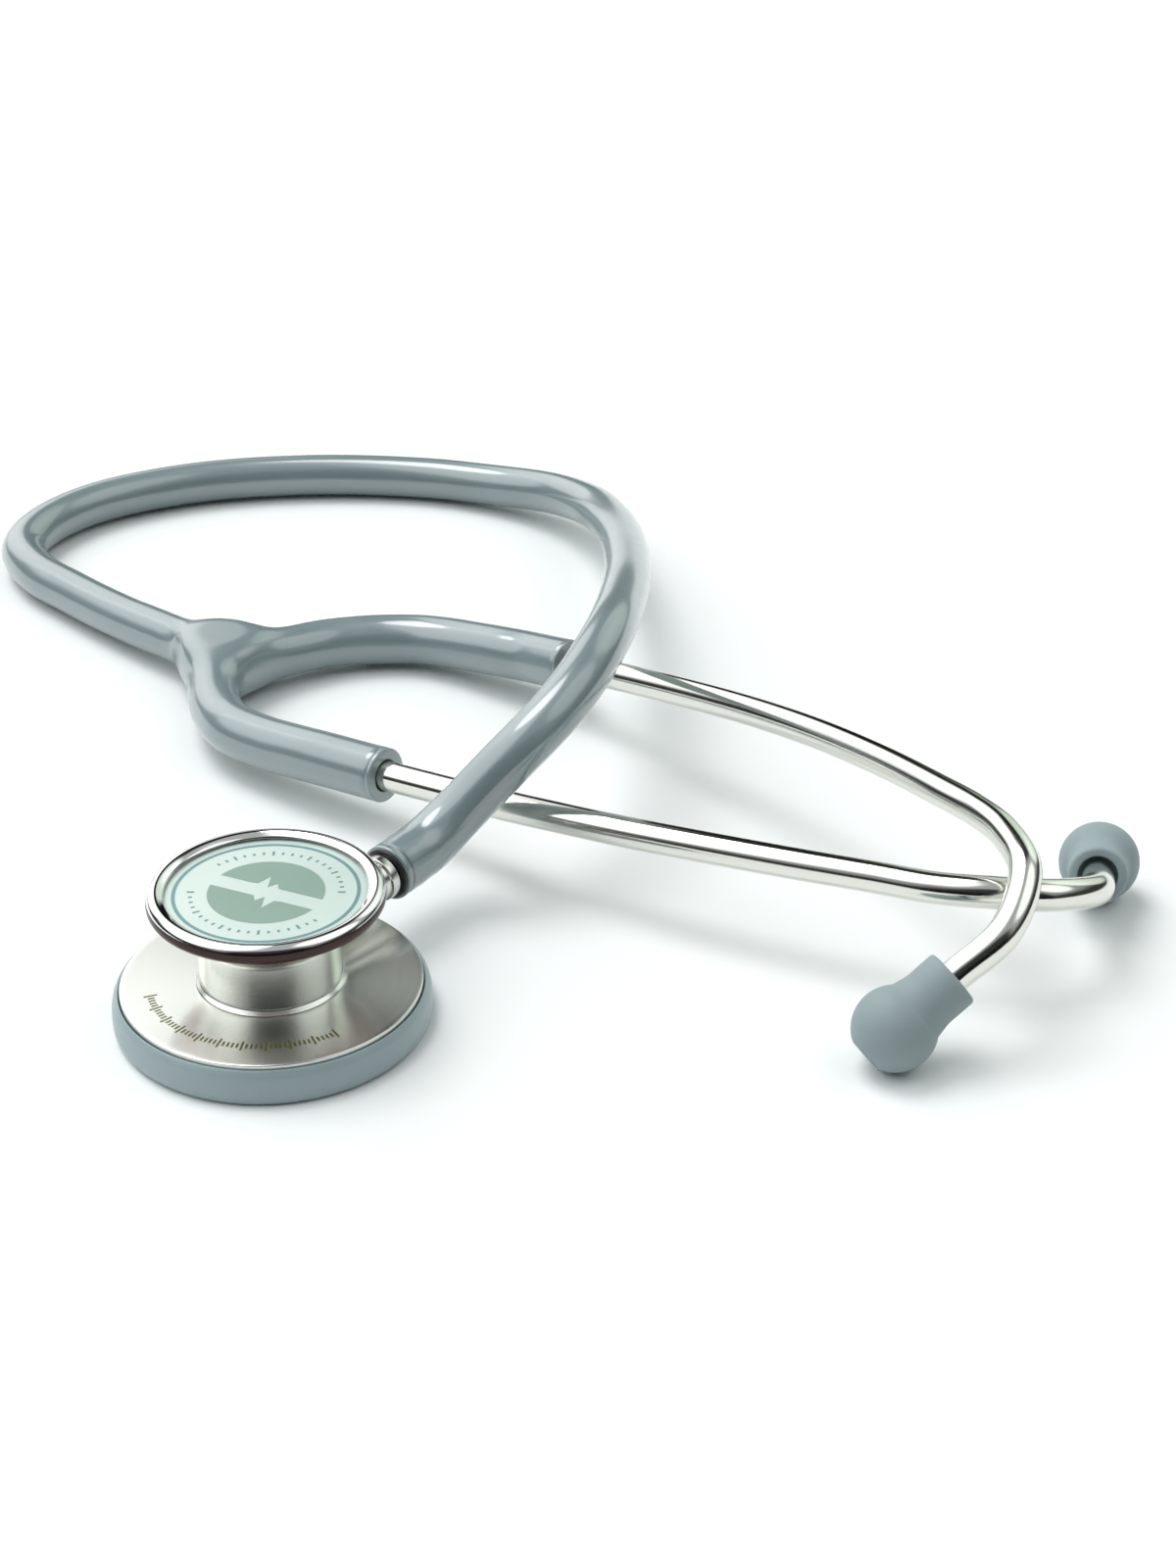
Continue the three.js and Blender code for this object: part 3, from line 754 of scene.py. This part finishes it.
def makeChestBody():
    p, d, c = plateSettings, drumSettings, cupSettings
    plateOutline = rounded([
        (3.4, p["holeRadius"], 0), (p["bottom"] + 0.5, p["recessRadius"], 0.5),
        (p["bottom"], p["recessRadius"] + 1, 0.2), (p["bottom"], p["radius"], 0.15),
        (p["edgeTop"], p["radius"], 0.25), (p["edgeTop"] + 0.06, p["topRadius"], 0.2),
        (p["hubTop"] - 0.05, d["radius"] + d["footReach"], 0.35),
        (p["hubTop"] + 0.1, d["radius"] - 2, 0), (p["hubTop"] - 1, p["holeRadius"], 0),
    ])
    chestPiece("chest_plate", plateOutline, "plate", "chest_body")
    drumOutline = rounded([
        (p["hubTop"] - 0.6, p["holeRadius"], 0), (p["hubTop"] - 0.6, d["radius"] + d["footStep"], 0.05),
        (p["hubTop"] + 0.12, d["radius"] + d["footStep"], 0.2), (d["footTop"] + 0.1, d["radius"], 0.3),
        (d["top"], d["radius"], 1.1), (d["top"] + 1.1, d["radius"] + 1.4, 1.0),
        (c["underside"] - 0.7, c["radius"] - 1.4, 1.2), (c["underside"] - 0.05, c["radius"] - 0.2, 0.3),
        (c["underside"] + 0.3, c["radius"], 0.15), (c["rimTop"], c["radius"], 0.1),
        (c["rimTop"], c["floorRadius"], 0.1), (c["floorTop"], c["floorRadius"], 0.2),
        (c["floorTop"] - 0.8, p["holeRadius"], 0),
    ], 6)
    drum = chestPiece("chest_drum", drumOutline, "drum", None)
    near, far = d["bore"]
    boreOutline = [(near, 0), (near, d["boreRadius"]), (far, d["boreRadius"]), (far, 0)]
    bore = turnedPiece("bore", boreOutline, 72, materials["drum"], axisPlace(stemBase, stemDirection))
    cutAway(drum, bore)
    # the drum's flared underside is given painted shade and reflection
    paintShadeBelow(drum, "flare", c["flareRadius"], c["rimTop"])


def makeRims():
    r, b = rimSettings, bezelSettings
    chestPiece("rim_skin", rounded([
        (0.3, r["lipRadius"], 0.2), (0, r["lipRadius"] + 0.4, 0.2), (0, r["radius"] - 1.05, 0.5),
        (0.5, r["radius"] - 0.25, 0.6), (1.5, r["radius"], 0.8), (3.6, r["radius"] - 0.03, 0.8),
        (4.9, r["radius"] - 0.3, 0.7), (5.65, r["radius"] - 0.75, 0.5), (r["top"], r["radius"] - 0.95, 0.12),
        (r["top"] - 0.18, r["seatRadius"] + 0.12, 0.1), (1.9, r["seatRadius"] + 0.05, 0.2),
        (r["lipTop"] + 0.1, r["seatRadius"], 0.2), (r["lipTop"], r["lipRadius"] + 0.1, 0.2),
    ], 5), "rim", "large_rim")
    bezel = chestPiece("bezel_skin", rounded([
        (b["bottom"], b["innerRadius"], 0.1), (b["bottom"], b["radius"] - 0.3, 0.3),
        (b["bottom"] + 0.5, b["radius"], 0.5), (b["top"] - 1.2, b["radius"], 0.6),
        (b["top"] - 0.45, b["radius"] - 0.35, 0.6), (b["top"], b["radius"] - 1.1, 0.5),
        (b["top"] - 0.05, b["windowRadius"] + 1, 0.4), (b["top"] - 0.5, b["windowRadius"] + 0.15, 0.25),
        (b["ledge"], b["windowRadius"], 0.1), (b["ledge"], b["innerRadius"], 0.1),
    ], 6), "polished", "small_rim")
    # the underside of the polished ring is given painted dark reflection and shade
    paintShadeBelow(bezel, "lip", b["innerRadius"], cupSettings["lipTop"])


def discOutline(heights, radius, fillet):
    low, high = heights
    return rounded([(low, 0, 0), (low, radius, fillet), (high, radius, fillet), (high, 0, 0)])


def makeDiscs():
    d = discSettings
    chestPiece("wide_disc", discOutline(d["wide"], d["wideRadius"], 0.12),
               "disc", "large_diaphragm", "large_disc")
    chestPiece("dial_face", discOutline(d["dial"], d["dialRadius"], 0.1),
               "face", "small_diaphragm", "small_disc")


makeChestBody()
makeRims()
makeDiscs()
print("chestpiece made")

# Printing on the dial and the plate: plain shapes, no lettering
printSettings = {
    "thickness": 0.03,
    "ringRadius": 13.2,
    "ringWidth": 0.55,
    "fieldRadius": 8.6,
    "bandHalfWidth": 1.5,
    "bandTurn": 24,  # degrees the pale band leans
    "bandGap": 20,  # degrees without ticks on each side of the band
    # ticks: half lengths of the short and the long ones, half width in degrees
    "tickRadius": 11.0,
    "tickCount": 48,
    "tickReach": (0.3, 0.55),
    "tickWidth": 0.95,
    "plateTickRadius": 18.0,
    "plateTickCount": 51,
    "plateTickReach": (0.5, 1.0),
    "plateTickWidth": 0.5,
    "plateArc": (196, 306),  # degrees, along the front of the wide plate
}


def printedShape(name, outlines, heightAt, thickness, material, body):
    # thin raised prints from flat outlines, drawn from above on a face whose height is heightAt(radius)
    bm = bmesh.new()
    for outline in outlines:
        spots = [(x, y, heightAt(math.hypot(x, y))) for x, y in outline]
        low = [bm.verts.new(Vector(spot) * mm) for spot in spots]
        high = [bm.verts.new((Vector(spot) + Vector((0, 0, thickness))) * mm) for spot in spots]
        bm.faces.new(low[::-1])
        bm.faces.new(high)
        for i in range(len(outline)):
            n = (i + 1) % len(outline)
            bm.faces.new((low[i], low[n], high[n], high[i]))
    bmesh.ops.recalc_face_normals(bm, faces=bm.faces)
    bmesh.ops.triangulate(bm, faces=[f for f in bm.faces if len(f.verts) > 4])
    markEdges(bm)
    piece = meshObject(name, bm, materials[material])
    piece.data.transform(upFromFoot)
    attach(piece, body)


def polar(radius, degrees):
    return radius * math.cos(math.radians(degrees)), radius * math.sin(math.radians(degrees))


def fieldHalf(upper):
    # one side of a round field split by a leaning band with a single pulse in its edge
    s = printSettings
    radius, half = s["fieldRadius"], s["bandHalfWidth"]
    reach = math.degrees(math.asin(half / radius))
    arcSteps = 40
    arc = [polar(radius, reach + (180 - 2 * reach) * i / arcSteps) for i in range(arcSteps + 1)]
    pulse = [
        (-3.4, half), (-2.3, half + 0.2), (-1.5, half + 2.6), (-0.5, half - 0.2),
        (0.4, half + 1.2), (1.2, half), (2.4, half),
    ]
    shape = arc + pulse
    if not upper:
        shape = [(-x, -y) for x, y in shape]
    lean = math.radians(-s["bandTurn"])
    across, down = math.cos(lean), math.sin(lean)
    return [(x * across - y * down, x * down + y * across) for x, y in shape]


def tick(radius, long, angle, width):
    # a short radial mark, width in degrees either side
    near, far = radius - long, radius + long
    corners = [(near, -width), (far, -width), (far, width), (near, width)]
    return [polar(reach, angle + turn) for reach, turn in corners]


def plateTop(radius):
    # the plate rises gently from its edge to the foot of the drum
    outer, inner = plateSettings["topRadius"], drumSettings["radius"] + drumSettings["footReach"]
    rise = min(max((outer - radius) / (outer - inner), 0), 1)
    low, high = plateSettings["edgeTop"] + 0.06, plateSettings["hubTop"] - 0.05
    return low + (high - low) * rise


def makePrints():
    s = printSettings
    top, thickness = discSettings["dial"][1], s["thickness"]
    chestPiece("dial_ring", rounded([
        (top, s["ringRadius"], 0), (top + thickness, s["ringRadius"], 0),
        (top + thickness, s["ringRadius"] + s["ringWidth"], 0), (top, s["ringRadius"] + s["ringWidth"], 0),
    ]), "teal", None, "small_disc")
    field = [fieldHalf(True), fieldHalf(False)]
    printedShape("dial_field", field, lambda radius: top, thickness, "sage", "small_disc")
    short, long = s["tickReach"]
    dialTicks = []
    for i in range(s["tickCount"]):
        angle = 360 * i / s["tickCount"]
        if s["bandGap"] < (angle + s["bandTurn"]) % 180 < 180 - s["bandGap"]:
            half = long if i % 4 == 0 else short
            dialTicks.append(tick(s["tickRadius"], half, angle, s["tickWidth"]))
    printedShape("dial_ticks", dialTicks, lambda radius: top, thickness, "teal", "small_disc")
    first, last = s["plateArc"]
    short, long = s["plateTickReach"]
    plateTicks = []
    for i in range(s["plateTickCount"]):
        angle = first + (last - first) * i / (s["plateTickCount"] - 1)
        half = long if i % 5 == 0 else short
        plateTicks.append(tick(s["plateTickRadius"], half, angle, s["plateTickWidth"]))
    printedShape("plate_ticks", plateTicks, plateTop, thickness * 0.6, "gold", "chestpiece")


makePrints()
print("prints made")


def makeStem():
    s = stemSettings
    radius, start, collar = s["radius"], s["hoseStart"], s["radius"] + s["collarReach"]
    grooveStart, grooveEnd = s["groove"]
    bushStart, bushEnd = s["bush"]
    stemPiece("stem_skin", rounded([
        (5.6, 0, 0), (5.6, radius, 0.2), (grooveStart, radius, 0.1), (grooveStart + 0.3, radius - 0.25, 0.1),
        (grooveEnd - 0.3, radius - 0.25, 0.1), (grooveEnd, radius, 0.1), (start - 2.6, radius, 0.1),
        (start - 2.4, collar, 0.15), (start - 0.9, collar, 0.15), (start - 0.7, radius - 0.1, 0.1),
        (start + 3.3, radius - 0.2, 0.1), (start + 3.3, 0, 0),
    ]), "drum", "stem", "sound_line")
    stemPiece("bush_skin", rounded([
        (bushStart, radius + 0.1, 0.1), (bushStart, s["bushRadius"], 0.2),
        (bushEnd, s["bushRadius"], 0.45), (bushEnd, radius + 0.1, 0.15),
    ]), "drum", "stem_bush", "chestpiece")
    stemPiece("hose_liner", rounded([
        (start - 0.35, radius + 0.06, 0.2), (start - 0.35, s["linerRadius"], 0.4),
        (start + 1.5, 3.7, 0.2), (start + 1.5, radius + 0.06, 0.2),
    ]), "liner", None, "sound_line")


makeStem()
print("stem made")

# The small inner pieces keep their own shapes
innerFinishes = {
    "small_gasket": "liner", "stem_seal": "liner", "detent_ball": "spring", "detent_spring": "spring",
    "detent_plug": "drum", "leaf_spring": "spring",
    "ear_nipple_left": "brass", "ear_nipple_right": "brass",
    "eartip_insert_left": "liner", "eartip_insert_right": "liner",
}
for node, finish in innerFinishes.items():
    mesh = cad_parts[node].data
    mesh.materials.clear()
    mesh.materials.append(materials[finish])

# Floor and light
lightSettings = {
    "sunStrength": 1.0,
    "sunSpread": 30,  # degrees across
    "sunTilt": (-18, -18),  # degrees towards the left and away
    "horizon": (0.025, 0.023, 0.023),
    "sky": (0.44, 0.455, 0.46),
    # from the horizon at 0 to overhead at 1, how much of the sky colour shows
    "rise": [(0.0, 0.8), (0.03, 0.0), (0.26, 0.05), (0.42, 0.75), (0.7, 1.0)],
    # soft boxes and dark screens round the set: direction, the cosines where they begin
    # and are full, and what they do to the light there
    "softBoxes": [
        ((-0.6, 0.0, 0.8), 0.78, 0.9, (1.5, 1.55, 1.55)),
        ((-0.5, 0.78, 0.42), 0.9, 0.95, (1.5, 1.52, 1.5)),
        ((0.5, 0.78, 0.45), 0.9, 0.95, (0.75, 0.86, 0.76)),
        ((0.6, -0.05, 0.78), 0.89, 0.94, (0.9, 0.95, 0.93)),
    ],
    "screens": [
        ((0.1, -1.0, 0.25), 0.72, 0.86, 0.1),
        ((0.04, 0.9, 0.4), 0.91, 0.965, 0.04),
        ((0.05, 0.66, 0.75), 0.91, 0.965, 0.06),
    ],
}


def makeFloor():
    bm = bmesh.new()
    bmesh.ops.create_grid(bm, x_segments=2, y_segments=2, size=3)
    surface = Surface("paleFloor", (0.9, 0.91, 0.91), 0.7)
    surface.tones(surface.noise(3), (0.9, 0.91, 0.91), 0.005)
    floor = meshObject("floor", bm, surface.material)


def makeLight():
    world = bpy.data.worlds.new("studio")
    world.use_nodes = True
    nodes, links = world.node_tree.nodes, world.node_tree.links
    where = nodes.new("ShaderNodeTexCoord")
    split = nodes.new("ShaderNodeSeparateXYZ")
    ramp = nodes.new("ShaderNodeValToRGB")
    stops = lightSettings["rise"]
    elements = ramp.color_ramp.elements
    while len(elements) < len(stops):
        elements.new(0.5)
    for element, (place, mix) in zip(elements, stops):
        pair = zip(lightSettings["horizon"], lightSettings["sky"])
        element.position = place
        element.color = (*[a + (b - a) * mix for a, b in pair], 1)
    links.new(where.outputs["Generated"], split.inputs["Vector"])
    links.new(split.outputs["Z"], ramp.inputs["Fac"])
    light = ramp.outputs["Color"]

    def patch(direction, begins, full, outside, inside):
        # a value that changes smoothly from outside to inside a round patch of the sky
        facing = nodes.new("ShaderNodeVectorMath")
        facing.operation = "DOT_PRODUCT"
        facing.inputs[1].default_value = Vector(direction).normalized()
        links.new(where.outputs["Generated"], facing.inputs[0])
        shade = nodes.new("ShaderNodeMapRange")
        shade.interpolation_type = "SMOOTHSTEP"
        ends = (("From Min", begins), ("From Max", full), ("To Min", outside), ("To Max", inside))
        for socket, value in ends:
            shade.inputs[socket].default_value = value
        links.new(facing.outputs["Value"], shade.inputs["Value"])
        return shade.outputs["Result"]

    for direction, begins, full, tone in lightSettings["screens"]:
        dim = nodes.new("ShaderNodeVectorMath")
        dim.operation = "SCALE"
        links.new(light, dim.inputs[0])
        links.new(patch(direction, begins, full, 1, tone), dim.inputs["Scale"])
        light = dim.outputs["Vector"]
    for direction, begins, full, glow in lightSettings["softBoxes"]:
        lit = nodes.new("ShaderNodeVectorMath")
        lit.operation = "MULTIPLY_ADD"
        lit.inputs[0].default_value = glow
        links.new(patch(direction, begins, full, 0, 1), lit.inputs[1])
        links.new(light, lit.inputs[2])
        light = lit.outputs["Vector"]
    # the camera itself sees a plain white backdrop beyond the floor
    seen = nodes.new("ShaderNodeLightPath")
    backdrop = nodes.new("ShaderNodeMix")
    backdrop.data_type = "RGBA"
    backdrop.inputs["B"].default_value = (1, 1, 1, 1)
    links.new(seen.outputs["Is Camera Ray"], backdrop.inputs["Factor"])
    links.new(light, backdrop.inputs["A"])
    links.new(backdrop.outputs["Result"], nodes["Background"].inputs["Color"])
    bpy.context.scene.world = world
    lamp = bpy.data.lights.new("overhead", "SUN")
    lamp.energy = lightSettings["sunStrength"]
    lamp.angle = math.radians(lightSettings["sunSpread"])
    overhead = bpy.data.objects.new("overhead", lamp)
    left, away = lightSettings["sunTilt"]
    overhead.rotation_euler = (math.radians(away), math.radians(left), 0)
    bpy.context.scene.collection.objects.link(overhead)
    bpy.context.scene.view_settings.view_transform = "Standard"


makeFloor()
makeLight()
print("floor and light made")
